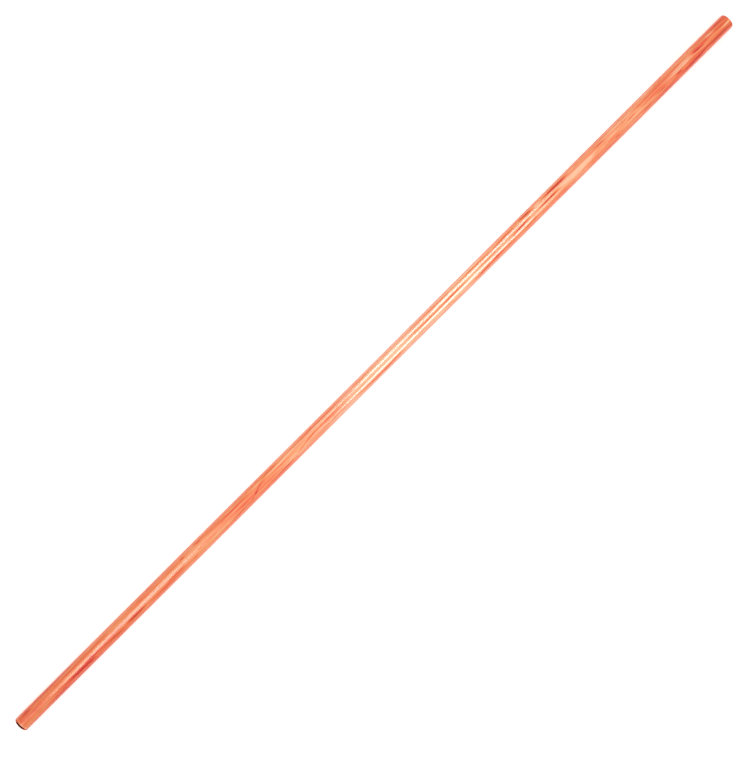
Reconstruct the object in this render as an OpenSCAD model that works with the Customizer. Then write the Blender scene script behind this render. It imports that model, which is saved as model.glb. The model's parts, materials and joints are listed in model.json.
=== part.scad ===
// Devil stick: one turned hardwood shaft, a gloss lacquer film over it and a dark seal on one end's grain.
// The stick lies along X, and the origin is its balance point: mid-length, on the axis.

/* [Stick] */
// Overall length, over both finished end faces
stick_length = 640; // [400:5:900]
// Finished diameter of the straight grip at each end
grip_diameter = 10; // [8:0.1:20]
// Length of the straight grip at each end, eased rim included
grip_length = 160; // [60:5:180]
// How far the waist at mid-length is slimmer than the grips, on the diameter
waist_relief = 0.3; // [0:0.1:2]
// Radius of the eased rim round each end face
rim_easing = 1.3; // [0.8:0.1:2.5]

/* [Finish] */
// Thickness of the lacquer film
lacquer_thickness = 0.1; // [0.05:0.05:0.4]
// Thickness of the seal over the end grain at the -X end
seal_thickness = 0.4; // [0.3:0.1:0.6]
// How far the seal reaches along the side, past the eased rim
seal_reach = 0.3; // [0.1:0.1:3]

/* [Hidden] */

// Steps along the waist curve, and round a quarter of an eased rim
WAIST_STEPS = 32;
RIM_STEPS = 8;
// Fineness of the turned surfaces
TURNED_FN = 96;

grip_radius = grip_diameter / 2;
waist_half_length = stick_length / 2 - grip_length;
// The rims' quarter-rounds turn about a circle of this radius, this far from mid-length
rim_centre_radius = grip_radius - rim_easing;
rim_centre_x = stick_length / 2 - rim_easing;
// Where the seal and the lacquer film meet along the side
seal_line_x = seal_reach - rim_centre_x;

// An outline is a list of [radius, x] points, walked from the -X end to the +X end.

function reversed(points) = [for (i = [len(points) - 1:-1:0]) points[i]];

// The side between the two rims: straight grips, and a smooth waist between them.
// Depth is how far the outline lies under the finished surface.
function waist_radius_at(x) =
    grip_radius - waist_relief / 2 * (1 + cos(180 * x / waist_half_length)) / 2;

function side(depth) =
    [for (i = [0:WAIST_STEPS])
        let (x = waist_half_length * (2 * i / WAIST_STEPS - 1))
        [waist_radius_at(x) - depth, x]];

// A quarter turn round a rim, between its face and the side.
// The depths are how far it lies under the finished side and under the finished face.
function rim(side_depth, face_depth, end) =
    [for (i = [0:RIM_STEPS])
        let (turn = end < 0 ? 90 * (i / RIM_STEPS - 1) : 90 * i / RIM_STEPS)
        [
            rim_centre_radius + (rim_easing - side_depth) * cos(turn),
            end * rim_centre_x + (rim_easing - face_depth) * sin(turn)
        ]];

sealed_rim_outside = rim(0, 0, -1);
sealed_rim_wood = rim(lacquer_thickness, seal_thickness, -1);
lacquered_rim_outside = rim(0, 0, 1);
lacquered_rim_wood = rim(lacquer_thickness, lacquer_thickness, 1);

// A point on the axis, level with the face where an outline starts or ends
function on_axis(point) = [0, point[1]];

// A point on the seal's line, depth under the finished side
function on_seal_line(depth) = [grip_radius - depth, seal_line_x];

module turned(outline) {
    rotate([0, 90, 0]) rotate_extrude($fn = TURNED_FN) polygon(outline);
}

// One piece of straight-grained hardwood, turned round, with both rims eased
module wood_shaft() {
    color("#E8805A") turned(concat(
        [on_axis(sealed_rim_wood[0])],
        sealed_rim_wood,
        side(lacquer_thickness),
        lacquered_rim_wood,
        [on_axis(lacquered_rim_wood[RIM_STEPS])]
    ));
}

// The film on the side and over the +X end, which stops at the seal's line
module lacquer_coat() {
    outside = concat(
        [on_seal_line(0)],
        side(0),
        lacquered_rim_outside,
        [on_axis(lacquered_rim_outside[RIM_STEPS])]
    );
    inside = concat(
        [on_seal_line(lacquer_thickness)],
        side(lacquer_thickness),
        lacquered_rim_wood,
        [on_axis(lacquered_rim_wood[RIM_STEPS])]
    );
    color("#F0603C") turned(concat(outside, reversed(inside)));
}

// The seal over the -X end's face and rim, thickest on the face, where the grain drinks most.
// It wraps onto the side as far as its line.
module end_seal() {
    outside = concat(
        [on_axis(sealed_rim_outside[0])],
        sealed_rim_outside,
        [on_seal_line(0)]
    );
    inside = concat(
        [on_axis(sealed_rim_wood[0])],
        sealed_rim_wood,
        [on_seal_line(lacquer_thickness)]
    );
    color("#4A0D06") turned(concat(outside, reversed(inside)));
}

wood_shaft();
lacquer_coat();
end_seal();
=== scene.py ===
import json
import math

import bpy
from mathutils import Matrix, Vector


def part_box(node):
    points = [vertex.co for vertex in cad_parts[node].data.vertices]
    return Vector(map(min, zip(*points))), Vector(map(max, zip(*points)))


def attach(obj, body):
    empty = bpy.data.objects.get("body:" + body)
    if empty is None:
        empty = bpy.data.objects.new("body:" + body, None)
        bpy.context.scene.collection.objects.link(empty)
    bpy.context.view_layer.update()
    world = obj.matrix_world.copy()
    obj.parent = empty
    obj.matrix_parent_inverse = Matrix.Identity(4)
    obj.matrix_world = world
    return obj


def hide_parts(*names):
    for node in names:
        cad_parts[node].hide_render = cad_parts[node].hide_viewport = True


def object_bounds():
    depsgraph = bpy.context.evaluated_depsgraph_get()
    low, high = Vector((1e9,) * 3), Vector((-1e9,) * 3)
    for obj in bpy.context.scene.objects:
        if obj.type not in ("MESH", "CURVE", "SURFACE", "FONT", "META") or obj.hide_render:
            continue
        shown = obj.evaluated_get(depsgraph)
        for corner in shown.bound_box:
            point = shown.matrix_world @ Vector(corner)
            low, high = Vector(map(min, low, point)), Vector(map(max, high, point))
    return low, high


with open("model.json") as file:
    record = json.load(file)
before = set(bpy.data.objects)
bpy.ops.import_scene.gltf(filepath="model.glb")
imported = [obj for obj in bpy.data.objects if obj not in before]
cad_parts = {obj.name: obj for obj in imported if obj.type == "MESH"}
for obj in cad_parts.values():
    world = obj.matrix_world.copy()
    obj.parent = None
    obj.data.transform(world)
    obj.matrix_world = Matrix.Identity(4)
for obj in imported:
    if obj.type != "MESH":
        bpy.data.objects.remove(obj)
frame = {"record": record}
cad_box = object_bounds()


# ---------------------------------------------------------------------------------------------
# Wood shaft. One length of straight-grained, ring-porous hardwood, such as ash, turned round
# with a waist a hair slimmer than the grips. It is sanded along its length, its rims are eased,
# and it is stained red-orange. Both coats are bonded to it.
# ---------------------------------------------------------------------------------------------

MM = 0.001

wood_low, wood_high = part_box("wood_shaft")
coat_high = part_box("lacquer_coat")[1]
seal_low, seal_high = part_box("end_seal")

GRIP_RADIUS = coat_high.z
HALF_LENGTH = coat_high.x
RIM_EASING = 1.3 * MM
SIDE_END = HALF_LENGTH - RIM_EASING
FACE_RADIUS = GRIP_RADIUS - RIM_EASING
FILM = coat_high.z - wood_high.z
SEAL_FILM = wood_low.x - seal_low.x
WAIST_RELIEF = 0.3 * MM

# A grip is its straight part, which the record's mount gives, and its eased rim
grip_mount = next(m for m in frame["record"]["mounts"] if m["name"] == "grip_lacquered_end")
GRIP_LENGTH = grip_mount["dims"]["length_mm"] * MM + RIM_EASING
WAIST_HALF_LENGTH = HALF_LENGTH - GRIP_LENGTH

AROUND = 96
SIDE_STEP = 1.5 * MM
RIM_STEPS = 12
FACE_RINGS = (0.0, 0.25, 0.5, 0.75)
SMOOTHED_UP_TO = math.radians(50)

# The deepest that a sanded dip goes, and the dips that cross each other there: the length over
# which each leans by a radian, and how many there are round the stick
SANDED_DIP = 0.03 * MM
DIPS = ((23 * MM, 2), (37 * MM, -3))


def side_outline(depth, start, end):
    """Rings of (x, radius) along the side, depth under the finished surface."""
    steps = round((end - start) / SIDE_STEP)
    rings = []
    for step in range(steps + 1):
        x = start + (end - start) * step / steps
        waist = 0.0
        if abs(x) < WAIST_HALF_LENGTH:
            waist = WAIST_RELIEF / 2 * (1 + math.cos(math.pi * x / WAIST_HALF_LENGTH)) / 2
        rings.append((x, GRIP_RADIUS - depth - waist))
    return rings


def end_outline(side_depth, face_depth, end):
    """Rings from the centre of an end face, over its eased rim, to just before the side."""
    face_x = end * (HALF_LENGTH - face_depth)
    rings = [(face_x, FACE_RADIUS * share) for share in FACE_RINGS]
    for step in range(RIM_STEPS):
        turn = math.pi / 2 * (1 - step / RIM_STEPS)
        x = end * (SIDE_END + (RIM_EASING - face_depth) * math.sin(turn))
        rings.append((x, FACE_RADIUS + (RIM_EASING - side_depth) * math.cos(turn)))
    return rings


def sanded(x, radius, angle):
    """Hand sanding leaves the side a few hundredths out of round, in long shallow dips."""
    waves = sum(math.sin(x / length + count * angle) for length, count in DIPS)
    share = (1 + waves / len(DIPS)) / 2
    return x, radius * (1 - SANDED_DIP / GRIP_RADIUS * share)


def turned(name, rings, shape, closed=False):
    """Spins rings of (x, radius) about X into a mesh piece. A ring on the axis is one point.
    shape moves a point's x and radius. closed joins the last ring to the first."""
    points, rows = [], []
    for x, radius in rings:
        if radius == 0:
            rows.append([len(points)] * AROUND)
            points.append((shape(x, radius, 0.0)[0], 0.0, 0.0))
            continue
        rows.append(list(range(len(points), len(points) + AROUND)))
        for step in range(AROUND):
            angle = 2 * math.pi * step / AROUND
            moved_x, moved_radius = shape(x, radius, angle)
            points.append((moved_x, moved_radius * math.cos(angle), moved_radius * math.sin(angle)))
    faces = []
    for near, far in zip(rows, rows[1:] + rows[:1] if closed else rows[1:]):
        for step in range(AROUND):
            after = (step + 1) % AROUND
            corners = dict.fromkeys((near[step], near[after], far[after], far[step]))
            if len(corners) > 2:
                faces.append(tuple(corners))
    mesh = bpy.data.meshes.new(name)
    mesh.from_pydata(points, [], faces)
    mesh.validate()
    mesh.shade_smooth()
    mesh.set_sharp_from_angle(angle=SMOOTHED_UP_TO)
    piece = bpy.data.objects.new(name, mesh)
    bpy.context.collection.objects.link(piece)
    return piece


sealed_end = end_outline(FILM, SEAL_FILM, -1)
clear_end = end_outline(FILM, FILM, 1)
wood_side = side_outline(FILM, -SIDE_END, SIDE_END)
shaft = turned("turned_ash_shaft", sealed_end + wood_side + clear_end[::-1], sanded)

# A map for the grain, so that a long thin stick keeps its detail: the skin lies in four strips,
# one above another, and the two end faces are discs over them.
STRIPS = 4
STRIP_HEIGHT = 0.23
STRIP_MARGIN = 0.006
DISC_HEIGHT = 0.96
DISC_RADIUS = 0.035
SEALED_DISC_PLACE = 0.25
CLEAR_DISC_PLACE = 0.75
RIM_ARC = RIM_EASING * math.pi / 2
STRIP_LENGTH = 2 * (SIDE_END + RIM_ARC) / STRIPS


def along_skin(point):
    """Distance along the skin from the -X end face to a point, over the rims."""
    past_side = abs(point.x) - SIDE_END
    if past_side > 0:
        turn = math.atan2(past_side, math.hypot(point.y, point.z) - FACE_RADIUS)
        return SIDE_END + RIM_ARC + math.copysign(SIDE_END + RIM_EASING * turn, point.x)
    return SIDE_END + RIM_ARC + point.x


grain_map = shaft.data.uv_layers.new(name="OFBake")
for face in shaft.data.polygons:
    on_disc = math.hypot(face.center.y, face.center.z) < FACE_RADIUS
    strip = min(STRIPS - 1, int(along_skin(face.center) / STRIP_LENGTH))
    face_angle = math.atan2(face.center.z, face.center.y) % (2 * math.pi)
    for corner in face.loop_indices:
        point = shaft.data.vertices[shaft.data.loops[corner].vertex_index].co
        if on_disc:
            disc_place = SEALED_DISC_PLACE if point.x < 0 else CLEAR_DISC_PLACE
            map_place = (disc_place + point.y / GRIP_RADIUS * DISC_RADIUS,
                         DISC_HEIGHT + point.z / GRIP_RADIUS * DISC_RADIUS)
        else:
            lean = math.atan2(point.z, point.y) - face_angle
            lean = (lean + math.pi) % (2 * math.pi) - math.pi
            share = along_skin(point) / STRIP_LENGTH - strip
            girth = (face_angle + lean) / (2 * math.pi)
            used = 1 - 2 * STRIP_MARGIN
            map_place = (STRIP_MARGIN + used * share,
                         (strip + STRIP_MARGIN + used * girth) * STRIP_HEIGHT)
        grain_map.data[corner].uv = map_place


def linear(hex_colour):
    """An sRGB hex colour as the linear RGBA that a shader takes."""
    channels = [int(hex_colour[i:i + 2], 16) / 255 for i in (1, 3, 5)]
    return [c / 12.92 if c <= 0.04045 else ((c + 0.055) / 1.055) ** 2.4 for c in channels] + [1.0]


def grey(value):
    """A value as the grey that a colour ramp takes for it."""
    return value, value, value, 1.0


def add(material, kind, inputs=None, stops=(), **settings):
    """Adds a node to the material, sets it up, links or fills its inputs, and returns it.
    stops are the places and colours along a colour ramp, from its low end to its high end."""
    tree = material.node_tree
    made = tree.nodes.new(kind)
    for name, value in settings.items():
        setattr(made, name, value)
    for socket, value in (inputs or {}).items():
        if isinstance(value, bpy.types.Node):
            value = next(out for out in value.outputs if out.enabled)
        if isinstance(value, bpy.types.NodeSocket):
            tree.links.new(value, made.inputs[socket])
        else:
            made.inputs[socket].default_value = value
    if stops:
        ramp = made.color_ramp.elements
        ramp[0].position, ramp[0].color = stops[0]
        ramp[1].position, ramp[1].color = stops[-1]
        for position, colour in stops[1:-1]:
            ramp.new(position).color = colour
    return made


def new_material(name):
    """A material whose node tree is still empty."""
    material = bpy.data.materials.new(name)
    material.use_nodes = True
    material.node_tree.nodes.clear()
    return material


# Stained ash, sanded: dark flames where the open early wood drank the stain, on a salmon-orange
# ground that is palest at the waist, with fine fibres and pore lines along the stick. Two pale
# marks in it are painted highlights: a soft patch along the top past mid-length, and a line beside
# the seal. The ring and fibre patterns are solid, so they come out as arcs and dots on the end
# faces.
ash = new_material("stained_turned_ash")

TO_MM = (1 / MM,) * 3
place = add(ash, "ShaderNodeTexCoord").outputs["Object"]
in_mm = add(ash, "ShaderNodeVectorMath", {0: place, 1: TO_MM}, operation="MULTIPLY")
split = add(ash, "ShaderNodeSeparateXYZ", {0: in_mm})


def grain(material, place_in_mm, along, across, detail, roughness):
    """Noise drawn out along the stick, with grains of these sizes in mm."""
    stretch = (1 / along, 1 / across, 1 / across)
    drawn_out = add(material, "ShaderNodeVectorMath", {0: place_in_mm, 1: stretch},
                    operation="MULTIPLY")
    return add(material, "ShaderNodeTexNoise", {"Vector": drawn_out, "Scale": 1.0,
               "Detail": detail, "Roughness": roughness})


# Real fibres are far finer than 0.7 mm across: they are drawn coarser so that they show
fibre = grain(ash, in_mm, along=22, across=0.7, detail=3.0, roughness=0.6)
bundle = grain(ash, in_mm, along=60, across=2.2, detail=2.0, roughness=0.5)
pore = grain(ash, in_mm, along=7, across=0.45, detail=1.0, roughness=0.5)
wave = grain(ash, in_mm, along=95, across=14, detail=2.0, roughness=0.45)

# Noise stays mostly within this span, and only its peaks are pores
NOISE_SPAN = {"From Min": 0.3, "From Max": 0.7}
PORE_SPAN = {"From Min": 0.6, "From Max": 0.72}

# Growth rings, in mm, round a pith well outside the stick. A wave in the grain moves them by up
# to this many rings. From one ring to the next, the tone is how much stain the wood drinks.
RING_SPACING = 2.7
RING_WAVES = 1.6
PITH_DISTANCE = 60.0
PITH_ANGLE = math.radians(52)
PITH = (0.0, PITH_DISTANCE * math.cos(PITH_ANGLE), -PITH_DISTANCE * math.sin(PITH_ANGLE))
RING_TONES = ((0.0, 0.7), (0.12, 1.0), (0.32, 0.6), (0.7, 0.0), (1.0, 0.7))
CROSSWISE = (0.0, 1.0, 1.0)

across = add(ash, "ShaderNodeVectorMath", {0: in_mm, 1: CROSSWISE}, operation="MULTIPLY")
ring_radius = add(ash, "ShaderNodeVectorMath", {0: across, 1: PITH}, operation="DISTANCE")
rings = add(ash, "ShaderNodeMath", {0: ring_radius, 1: 1 / RING_SPACING}, operation="MULTIPLY")
waved = add(ash, "ShaderNodeMath", {0: wave, 1: RING_WAVES, 2: rings},
            operation="MULTIPLY_ADD")
season = add(ash, "ShaderNodeMath", {0: waved}, operation="FRACT")
ring_tone = add(ash, "ShaderNodeValToRGB", {"Fac": season},
                stops=[(share, grey(tone)) for share, tone in RING_TONES])
ring_tone.color_ramp.interpolation = "EASE"

# Flames, where the grain runs out of the side, and one painted highlight. Each goes from one x to
# another, and from one place round the girth to another, in mm from the top, and has its half width
# in mm. Its depth is how much more stain it drank, and a pale one drank less. The broad pale one
# along the top from 168 to 198 mm is not stain but a painted highlight, where the side softboxes'
# reflection fades out. The under side has the same rows, end for end.
FLAMES_AND_HIGHLIGHT = (
    (-318, -175, -5.6, -5.6, 0.9, 0.25),
    (165, 322, -5.4, -5.4, 0.9, 0.30),
    (-315, -248, 4.8, 4.8, 0.6, 0.35),
    (-314, -306, 3.6, 3.4, 0.9, 0.30),
    (-297, -276, -4.2, -4.6, 1.0, 0.40),
    (-275, -254, -2.2, -3.1, 0.9, 0.85),
    (-246, -226, -2.4, -2.8, 0.7, 0.35),
    (-255, -140, -3.7, -3.7, 2.2, 0.20),
    (-224, -208, -2.2, -2.5, 0.8, 0.80),
    (-188, -172, -2.0, -2.1, 0.6, 0.40),
    (-185, -172, 2.0, 1.9, 0.3, 0.45),
    (-172, -169, 2.8, 2.4, 0.6, 0.35),
    (-166, -161, -2.9, -2.9, 0.5, 0.35),
    (-159, -154, 3.5, 3.2, 0.8, 0.45),
    (-131, -110, -3.5, -3.0, 0.6, 0.60),
    (-113, -101, -3.0, 1.0, 0.6, 0.50),
    (-104, -94, 0.8, 2.8, 1.2, 0.30),
    (-98, -84, 3.2, 3.4, 1.1, 0.30),
    (-92, -72, -3.8, -3.1, 0.6, 0.60),
    (-73, -52, -2.6, 0.5, 0.6, 0.45),
    (-68, -28, 3.2, 3.5, 0.9, 0.40),
    (-23, 24, -3.9, -3.9, 1.0, 0.45),
    (12, 28, -3.1, -3.1, 0.5, 0.40),
    (36, 60, -0.3, -0.3, 0.4, 0.40),
    (61, 65, 3.3, 3.3, 0.4, 0.45),
    (60, 72, -3.2, -4.0, 0.8, 0.30),
    (58, 86, -0.3, 0.0, 0.5, 0.55),
    (72, 108, 3.1, 3.1, 0.6, 0.50),
    (84, 104, -4.2, -3.4, 0.7, 0.38),
    (86, 122, 0.0, 0.0, 0.4, 0.50),
    (104, 115, -3.1, -3.1, 0.5, 0.50),
    (115, 127, -3.1, -3.2, 0.4, 0.35),
    (110, 131, 3.0, 3.2, 0.9, 0.75),
    (124, 141, -0.9, 0.2, 0.7, 0.95),
    (134, 145, 3.7, 3.2, 1.3, 0.95),
    (133, 146, -3.6, -3.0, 0.6, 0.50),
    (147, 152, 3.2, 2.6, 0.7, -0.30),
    (154, 176, 3.3, 3.1, 1.2, 0.95),
    (146, 166, -0.6, 0.2, 0.7, 0.80),
    # A painted highlight, not a flame: the soft pale patch along the top where the side softboxes'
    # reflection fades out
    (168, 198, -0.3, 0.2, 2.2, -0.35),
    (184, 222, -4.6, -4.7, 1.0, 0.50),
    (195, 203, -0.8, -0.8, 0.3, 0.50),
    (198, 209, 2.6, 1.6, 0.4, 0.40),
    (207, 222, -1.6, -1.6, 1.0, 0.25),
    (215, 219, -3.1, -3.1, 0.4, 0.45),
    (228, 235, -0.3, -0.3, 0.3, 0.55),
    (226, 238, 2.0, 1.6, 0.8, -0.25),
    (238, 248, -3.8, -3.8, 0.4, 0.70),
    (246, 275, -4.0, -4.6, 0.9, 0.45),
    (251, 268, 4.8, 4.8, 0.7, 0.35),
    (252, 262, -1.7, -1.8, 0.4, 0.50),
    (270, 276, -1.9, -1.9, 0.4, 0.65),
    (262, 290, 0.4, 0.4, 1.6, -0.40),
    (275, 300, -4.3, -2.9, 1.1, 0.70),
    (296, 324, -3.1, -4.0, 1.2, 0.75),
    (286, 297, 0.8, 0.1, 0.5, 0.60),
    (290, 303, -1.0, -1.0, 0.5, -0.30),
    (300, 308, 2.0, 1.4, 0.5, -0.40),
    (303, 320, 3.4, 3.6, 1.2, 0.30),
    (305, 323, 0.4, 0.3, 0.6, 0.45),
    (312, 321, -1.0, -1.0, 0.5, -0.40),
)

# Fibres feather the sides of each flame, and of the painted highlight, by this much, in mm. Its
# colour is full inside the first share of its half width, and has faded out at the second.
STREAK_FEATHER = 0.5
STREAK_CORE = 0.2
STREAK_EDGE = 1.25

upper = add(ash, "ShaderNodeMath", {0: split.outputs["Z"]}, operation="SIGN")
unrolled_x = add(ash, "ShaderNodeMath", {0: split.outputs["X"], 1: upper}, operation="MULTIPLY")
height = add(ash, "ShaderNodeMath", {0: split.outputs["Z"]}, operation="ABSOLUTE")
girth_angle = add(ash, "ShaderNodeMath", {0: split.outputs["Y"], 1: height}, operation="ARCTAN2")
girth = add(ash, "ShaderNodeMath", {0: girth_angle, 1: wood_high.z / MM}, operation="MULTIPLY")
feather = add(ash, "ShaderNodeMapRange", {"Value": fibre, **NOISE_SPAN,
              "To Min": -STREAK_FEATHER, "To Max": STREAK_FEATHER})
feathered = add(ash, "ShaderNodeMath", {0: girth, 1: feather}, operation="ADD")
unrolled = add(ash, "ShaderNodeCombineXYZ", {"X": unrolled_x, "Y": feathered})

flames_and_highlight = None
for start_x, end_x, start_girth, end_girth, width, depth in FLAMES_AND_HIGHLIGHT:
    run = end_x - start_x
    rise = end_girth - start_girth
    middle = ((start_x + end_x) / 2, (start_girth + end_girth) / 2, 0.0)
    streak_place = add(ash, "ShaderNodeMapping", {"Vector": unrolled, "Location": middle,
                      "Rotation": (0.0, 0.0, math.atan2(rise, run)),
                      "Scale": (math.hypot(run, rise) / 2 + width, width, 1.0)},
                      vector_type="TEXTURE")
    from_middle = add(ash, "ShaderNodeVectorMath", {0: streak_place}, operation="LENGTH")
    streak = add(ash, "ShaderNodeMapRange", {"Value": from_middle, "From Min": STREAK_CORE,
                "From Max": STREAK_EDGE, "To Min": depth, "To Max": 0.0},
                interpolation_type="SMOOTHSTEP")
    if flames_and_highlight is not None:
        streak = add(ash, "ShaderNodeMath", {0: flames_and_highlight, 1: streak}, operation="ADD")
    flames_and_highlight = streak

# How deep the stain went, from 0, pale, to 1, dark. The ground is paler towards mid-length and
# deeper towards both ends: shares of the length, from -X to +X, and the depth there.
GROUND_DEPTHS = ((0.0, 0.5), (0.11, 0.43), (0.2, 0.35), (0.32, 0.4), (0.4, 0.24), (0.5, 0.02),
                 (0.6, 0.08), (0.67, 0.22), (0.76, 0.27), (0.84, 0.26), (0.93, 0.37),
                 (1.0, 0.52))
share_of_length = add(ash, "ShaderNodeMapRange", {"Value": split.outputs["X"],
                      "From Min": -HALF_LENGTH / MM, "From Max": HALF_LENGTH / MM})
ground = add(ash, "ShaderNodeValToRGB", {"Fac": share_of_length},
             stops=[(share, grey(depth)) for share, depth in GROUND_DEPTHS])
ground.color_ramp.interpolation = "EASE"

# The end faces cut across the grain: they drink more stain, most in the open early wood, and
# no flame crosses them
END_GRAIN_DEPTH = 0.1
END_RING_DEPTH = 0.45
from_middle_x = add(ash, "ShaderNodeMath", {0: split.outputs["X"]}, operation="ABSOLUTE")
cut_across = add(ash, "ShaderNodeMapRange", {"Value": from_middle_x,
                 "From Min": (SIDE_END + RIM_EASING / 3) / MM,
                 "From Max": (HALF_LENGTH - FILM) / MM})
end_rings = add(ash, "ShaderNodeMath", {0: ring_tone, 1: END_RING_DEPTH, 2: END_GRAIN_DEPTH},
                operation="MULTIPLY_ADD")
end_grain = add(ash, "ShaderNodeMath", {0: cut_across, 1: end_rings}, operation="MULTIPLY")
cut_along = add(ash, "ShaderNodeMath", {0: 1.0, 1: cut_across}, operation="SUBTRACT")
flames_and_highlight = add(ash, "ShaderNodeMath", {0: flames_and_highlight, 1: cut_along}, operation="MULTIPLY")

# How much rings, fibres, bundles of fibres and pores each change the depth
RING_LEAST = -0.07
RING_MOST = 0.12
FIBRE_DEPTH = 0.24
BUNDLE_DEPTH = 0.17
PORE_DEPTH = 0.16
ring_depth = add(ash, "ShaderNodeMapRange", {"Value": ring_tone, "To Min": RING_LEAST,
                 "To Max": RING_MOST})
fibre_depth = add(ash, "ShaderNodeMapRange", {"Value": fibre, **NOISE_SPAN,
                  "To Min": -FIBRE_DEPTH, "To Max": FIBRE_DEPTH})
bundle_depth = add(ash, "ShaderNodeMapRange", {"Value": bundle, **NOISE_SPAN,
                   "To Min": -BUNDLE_DEPTH, "To Max": BUNDLE_DEPTH})
pore_depth = add(ash, "ShaderNodeMapRange", {"Value": pore, **PORE_SPAN,
                 "To Min": 0.0, "To Max": PORE_DEPTH})

# A painted highlight: a pale line on the wood just past the seal, standing in for the light caught
# where the clear coat's edge meets the seal. How far past the seal it stays palest and where it
# ends, in mm
EDGE_HIGHLIGHT_START = 0.4
EDGE_HIGHLIGHT_END = 1.4
EDGE_HIGHLIGHT_PALING = 0.3
painted_edge_highlight = add(ash, "ShaderNodeMapRange", {"Value": split.outputs["X"],
            "From Min": seal_high.x / MM + EDGE_HIGHLIGHT_START,
            "From Max": seal_high.x / MM + EDGE_HIGHLIGHT_END,
            "To Min": -EDGE_HIGHLIGHT_PALING, "To Max": 0.0})

# How deep the stain went, with the two painted highlights taken off it as paler stain
stain_and_highlight_depth = ground
for part in (end_grain, painted_edge_highlight, ring_depth, fibre_depth, bundle_depth, pore_depth, flames_and_highlight):
    stain_and_highlight_depth = add(ash, "ShaderNodeMath", {0: stain_and_highlight_depth, 1: part}, operation="ADD")

STAIN_COLOURS = ((0.0, "#F3D6AE"), (0.22, "#F1B580"), (0.42, "#EF9A60"), (0.6, "#EB8049"),
                 (0.8, "#E1633D"), (1.0, "#D24430"))
stain = add(ash, "ShaderNodeValToRGB", {"Fac": stain_and_highlight_depth},
            stops=[(depth, linear(colour)) for depth, colour in STAIN_COLOURS])

# Some bundles of fibres took the stain more yellow than others
YELLOWER_HUE = 0.512
REDDER_HUE = 0.49
hue = add(ash, "ShaderNodeMapRange", {"Value": bundle, **NOISE_SPAN, "To Min": YELLOWER_HUE,
          "To Max": REDDER_HUE})
tinted = add(ash, "ShaderNodeHueSaturation", {"Hue": hue, "Color": stain})

# Sanded fibres stand a few microns proud: drawn coarser than life so that they show
roughness = add(ash, "ShaderNodeMapRange", {"Value": fibre, **NOISE_SPAN, "To Min": 0.38,
                "To Max": 0.52})
relief = add(ash, "ShaderNodeMath", {0: fibre, 1: pore_depth}, operation="SUBTRACT")
bumped = add(ash, "ShaderNodeBump", {"Height": relief, "Strength": 0.25,
             "Distance": 0.05 * MM})
ash_surface = add(ash, "ShaderNodeBsdfPrincipled", {"Base Color": tinted,
                  "Roughness": roughness, "Specular IOR Level": 0.35, "Normal": bumped})
add(ash, "ShaderNodeOutputMaterial", {"Surface": ash_surface})
shaft.data.materials.append(ash)

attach(shaft, "root")
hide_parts("wood_shaft")


# ---------------------------------------------------------------------------------------------
# End seal. Thick dark red-brown lacquer, dabbed on the -X end to close the end grain. It wraps
# the eased rim and stops in a slightly uneven brushed line, where the clear coat begins.
# ---------------------------------------------------------------------------------------------

SEAL_LINE_X = seal_high.x
SEAL_UNEVENNESS = 0.15 * MM
DAB_HEIGHT = 0.12 * MM
LUMP_SIZE = 0.9 * MM

# Waves in the brushed line: how many go round the stick, how strong, and turned by how much
LINE_WAVES = ((2, 0.3, 0.8), (5, 0.2, 0.0))


def seal_line_gap(angle):
    """How far the brushed line stops short of its furthest reach along the side."""
    wobble = sum(strength * math.sin(count * angle + turned_by)
                 for count, strength, turned_by in LINE_WAVES)
    return SEAL_UNEVENNESS * (0.5 + wobble)


def meeting_seal(x, radius, angle):
    """Moves the points on the seal's line back towards the end, by the line's gap."""
    if x == SEAL_LINE_X:
        x -= seal_line_gap(angle)
    return sanded(x, radius, angle)


def dabbed(x, radius, angle):
    """Leaves the dab's face a little lumpy, and lower than its highest point."""
    if x < wood_low.x:
        lumps_round = 0.3 * math.sin(3 * angle + 0.5)
        lumps_outwards = 0.2 * math.cos(radius / LUMP_SIZE)
        share = 0.5 + lumps_round + lumps_outwards
        x += DAB_HEIGHT * share * (1 - radius / GRIP_RADIUS)
    return meeting_seal(x, radius, angle)


seal_outside = end_outline(0.0, 0.0, -1)
seal_outside += [(-SIDE_END, GRIP_RADIUS), (SEAL_LINE_X, GRIP_RADIUS)]
seal_inside = end_outline(FILM, SEAL_FILM, -1)
seal_inside += [(-SIDE_END, GRIP_RADIUS - FILM), (SEAL_LINE_X, GRIP_RADIUS - FILM)]
seal = turned("dark_end_seal", seal_outside + seal_inside[::-1], dabbed)

# Dabbed lacquer with dark pigment: nearly black where it is thick, redder where the brush drew
# it thin over the rim, most of all down the two sides, with a dull satin skin
dark_lacquer = new_material("dabbed_dark_red_lacquer")
BRUSH_MARKS_PER_MM = 0.9
THICK_HALF_WIDTH = 2.4 * MM
THINNEST = 0.9
SEAL_COLOURS = ((0.35, "#3D0806"), (0.6, "#661309"), (0.95, "#D24A34"))

seal_place = add(dark_lacquer, "ShaderNodeTexCoord").outputs["Object"]
brushed = add(dark_lacquer, "ShaderNodeTexNoise", {"Vector": seal_place,
              "Scale": BRUSH_MARKS_PER_MM / MM, "Detail": 3.0, "Roughness": 0.55})
seal_split = add(dark_lacquer, "ShaderNodeSeparateXYZ", {0: seal_place})
out_to_side = add(dark_lacquer, "ShaderNodeMath", {0: seal_split.outputs["Y"]},
                  operation="ABSOLUTE")
down_sides = add(dark_lacquer, "ShaderNodeMapRange", {"Value": out_to_side,
                 "From Min": THICK_HALF_WIDTH, "From Max": GRIP_RADIUS, "To Min": 0.0,
                 "To Max": THINNEST})
seal_across = add(dark_lacquer, "ShaderNodeVectorMath", {0: seal_place, 1: CROSSWISE},
                  operation="MULTIPLY")
out_from_axis = add(dark_lacquer, "ShaderNodeVectorMath", {0: seal_across}, operation="LENGTH")
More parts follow.
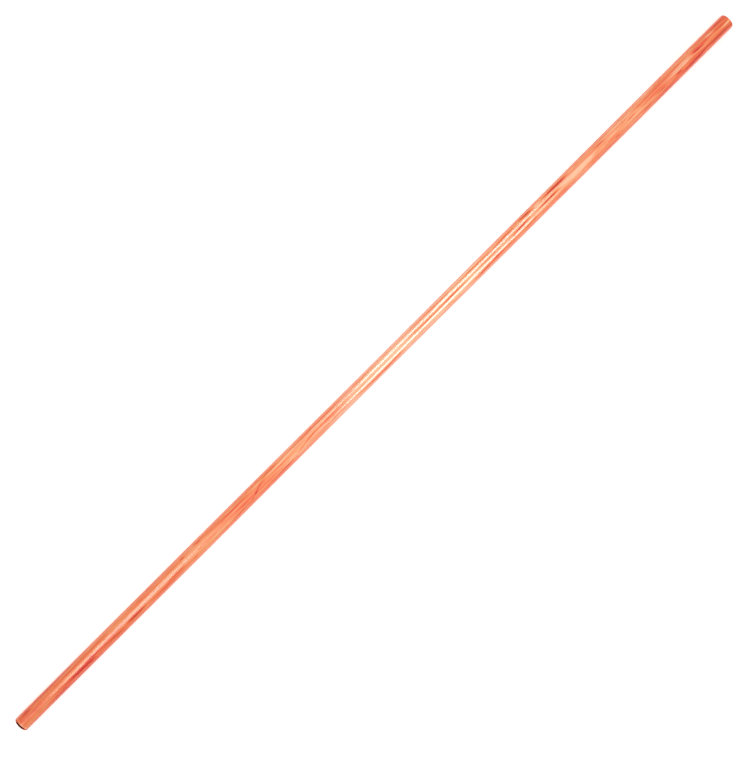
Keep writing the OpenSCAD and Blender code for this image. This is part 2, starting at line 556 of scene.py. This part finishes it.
over_rim = add(dark_lacquer, "ShaderNodeMapRange", {"Value": out_from_axis,
               "From Min": FACE_RADIUS + RIM_EASING / 4,
               "From Max": FACE_RADIUS + RIM_EASING * 3 / 4},
               interpolation_type="SMOOTHSTEP")
drawn_thin = add(dark_lacquer, "ShaderNodeMath", {0: down_sides, 1: over_rim},
                 operation="MULTIPLY")
thinness = add(dark_lacquer, "ShaderNodeMath", {0: brushed, 1: drawn_thin}, operation="ADD")
thinned = add(dark_lacquer, "ShaderNodeValToRGB", {"Fac": thinness},
              stops=[(share, linear(colour)) for share, colour in SEAL_COLOURS])
skin = add(dark_lacquer, "ShaderNodeMapRange", {"Value": brushed, **NOISE_SPAN, "To Min": 0.4,
           "To Max": 0.6})
dabs = add(dark_lacquer, "ShaderNodeBump", {"Height": brushed, "Strength": 0.3,
           "Distance": 0.05 * MM})
dark_surface = add(dark_lacquer, "ShaderNodeBsdfPrincipled", {"Base Color": thinned,
                   "Roughness": skin, "Specular IOR Level": 0.0, "Normal": dabs})
add(dark_lacquer, "ShaderNodeOutputMaterial", {"Surface": dark_surface})
seal.data.materials.append(dark_lacquer)

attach(seal, "root")
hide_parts("end_seal")


# ---------------------------------------------------------------------------------------------
# Lacquer coat. A clear gloss film, flowed on over the stained wood and left to level. It covers
# the side and the +X end, and meets the dark seal along its line.
# ---------------------------------------------------------------------------------------------

# The film is drawn this much thinner than it is, so that it never shares a place with the wood
BOND_GAP = 0.02 * MM

film_outside = side_outline(0.0, SEAL_LINE_X, SIDE_END) + end_outline(0.0, 0.0, 1)[::-1]
inner_depth = FILM - BOND_GAP
film_inside = side_outline(inner_depth, SEAL_LINE_X, SIDE_END)
film_inside += end_outline(inner_depth, inner_depth, 1)[::-1]
coat = turned("clear_lacquer_coat", film_outside + film_inside[::-1], meeting_seal, closed=True)

# Flowed clear gloss lacquer: the wood shows through, a little more amber, under soft-edged
# highlights. The film is wavy at a small scale, so it never mirrors the table fully at a
# glancing angle. Its waves, of a few microns, are drawn higher than life so that they show.
lacquer = new_material("flowed_clear_gloss_lacquer")
FILM_IOR = 1.75
MOST_MIRROR = 0.08
LEAST_ROUGH = 0.15
MOST_ROUGH = 0.19
WAVE_HEIGHT = 0.02 * MM
AMBER = linear("#F3A09B")
AMBER_PER_METRE = 3000.0

film_place = add(lacquer, "ShaderNodeTexCoord").outputs["Object"]
film_in_mm = add(lacquer, "ShaderNodeVectorMath", {0: film_place, 1: TO_MM},
                 operation="MULTIPLY")
flow = grain(lacquer, film_in_mm, along=9, across=3, detail=1.0, roughness=0.5)
film_roughness = add(lacquer, "ShaderNodeMapRange", {"Value": flow, **NOISE_SPAN,
                     "To Min": LEAST_ROUGH, "To Max": MOST_ROUGH})
film_waves = add(lacquer, "ShaderNodeBump", {"Height": flow, "Strength": 1.0,
                 "Distance": WAVE_HEIGHT})
clear = add(lacquer, "ShaderNodeBsdfTransparent")
gloss = add(lacquer, "ShaderNodeBsdfGlossy", {"Roughness": film_roughness,
            "Normal": film_waves})
fresnel = add(lacquer, "ShaderNodeFresnel", {"IOR": FILM_IOR})
mirror = add(lacquer, "ShaderNodeMath", {0: fresnel, 1: MOST_MIRROR}, operation="MINIMUM")

# Only the outer face shines, where light goes into the film
leaving = add(lacquer, "ShaderNodeNewGeometry").outputs["Backfacing"]
entering = add(lacquer, "ShaderNodeMath", {0: 1.0, 1: leaving}, operation="SUBTRACT")
shine = add(lacquer, "ShaderNodeMath", {0: mirror, 1: entering}, operation="MULTIPLY")
film = add(lacquer, "ShaderNodeMixShader", {0: shine, 1: clear, 2: gloss})
amber = add(lacquer, "ShaderNodeVolumeAbsorption", {"Color": AMBER,
            "Density": AMBER_PER_METRE})
add(lacquer, "ShaderNodeOutputMaterial", {"Surface": film, "Volume": amber})
coat.data.materials.append(lacquer)

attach(coat, "root")
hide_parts("lacquer_coat")


# ---------------------------------------------------------------------------------------------
# Studio. A wide table of matt white acrylic, which glows a little so that no hard shadow forms,
# three softboxes overhead and a camera that looks straight down.
# ---------------------------------------------------------------------------------------------

TABLE_SIZE = 60.0
TABLE_GAP = 0.02 * MM
TABLE_GLOW = 0.4
ROOM_LIGHT = 0.39
LIGHT_DISTANCE = 889 * MM

floor_z = cad_box[0][2] - TABLE_GAP
half = TABLE_SIZE / 2
floor_mesh = bpy.data.meshes.new("white_table")
floor_mesh.from_pydata([(-half, -half, floor_z), (half, -half, floor_z), (half, half, floor_z),
                        (-half, half, floor_z)], [], [(0, 1, 2, 3)])
table = bpy.data.objects.new("white_table", floor_mesh)
bpy.context.collection.objects.link(table)
acrylic = new_material("matt_white_acrylic")
acrylic_surface = add(acrylic, "ShaderNodeBsdfPrincipled", {
    "Base Color": linear("#E6E4E2"), "Roughness": 0.9, "Specular IOR Level": 0.0,
    "Emission Color": linear("#FFFDFB"), "Emission Strength": TABLE_GLOW})
add(acrylic, "ShaderNodeOutputMaterial", {"Surface": acrylic_surface})
floor_mesh.materials.append(acrylic)


def softbox(name, lean, x, length, width, watts):
    """A softbox over the stick at x, leaning degrees off the vertical towards +Y, aimed at it."""
    lamp = bpy.data.lights.new(name, "AREA")
    lamp.shape = "RECTANGLE"
    lamp.size = length
    lamp.size_y = width
    lamp.energy = watts
    box = bpy.data.objects.new(name, lamp)
    lean = math.radians(lean)
    box.location = (x, LIGHT_DISTANCE * math.sin(lean), LIGHT_DISTANCE * math.cos(lean))
    box.rotation_euler = (-lean, 0, 0)
    box.visible_camera = False
    bpy.context.collection.objects.link(box)


softbox("softbox_one_side", lean=31.0, x=0.129, length=0.34, width=0.38, watts=4.1)
softbox("softbox_other_side", lean=-38.0, x=0.129, length=0.34, width=0.38, watts=4.0)
softbox("softbox_sealed_end", lean=-3.5, x=-0.44, length=0.22, width=0.62, watts=2.2)

world = bpy.data.worlds.new("white_room")
world.use_nodes = True
backdrop = world.node_tree.nodes["Background"]
backdrop.inputs["Color"].default_value = linear("#FFFEFD")
backdrop.inputs["Strength"].default_value = ROOM_LIGHT
bpy.context.scene.world = world

# The camera stands nearly over mid-length, turned so that the stick runs corner to corner
SENSOR = 36.0
LENS_PER_SENSOR = 1.81782
CAMERA_PLACE = (-4.45 * MM, -3.52 * MM, 889 * MM)
CAMERA_TURN = math.radians(-44.91)
NEAREST_SEEN = 10 * MM

camera_data = bpy.data.cameras.new("overhead_camera")
camera_data.sensor_width = SENSOR
camera_data.lens = SENSOR * LENS_PER_SENSOR
camera_data.clip_start = NEAREST_SEEN
camera = bpy.data.objects.new("overhead_camera", camera_data)
camera.location = CAMERA_PLACE
camera.rotation_euler = (0, 0, CAMERA_TURN)
bpy.context.collection.objects.link(camera)
bpy.context.scene.camera = camera
bpy.context.scene.view_settings.view_transform = "Standard"
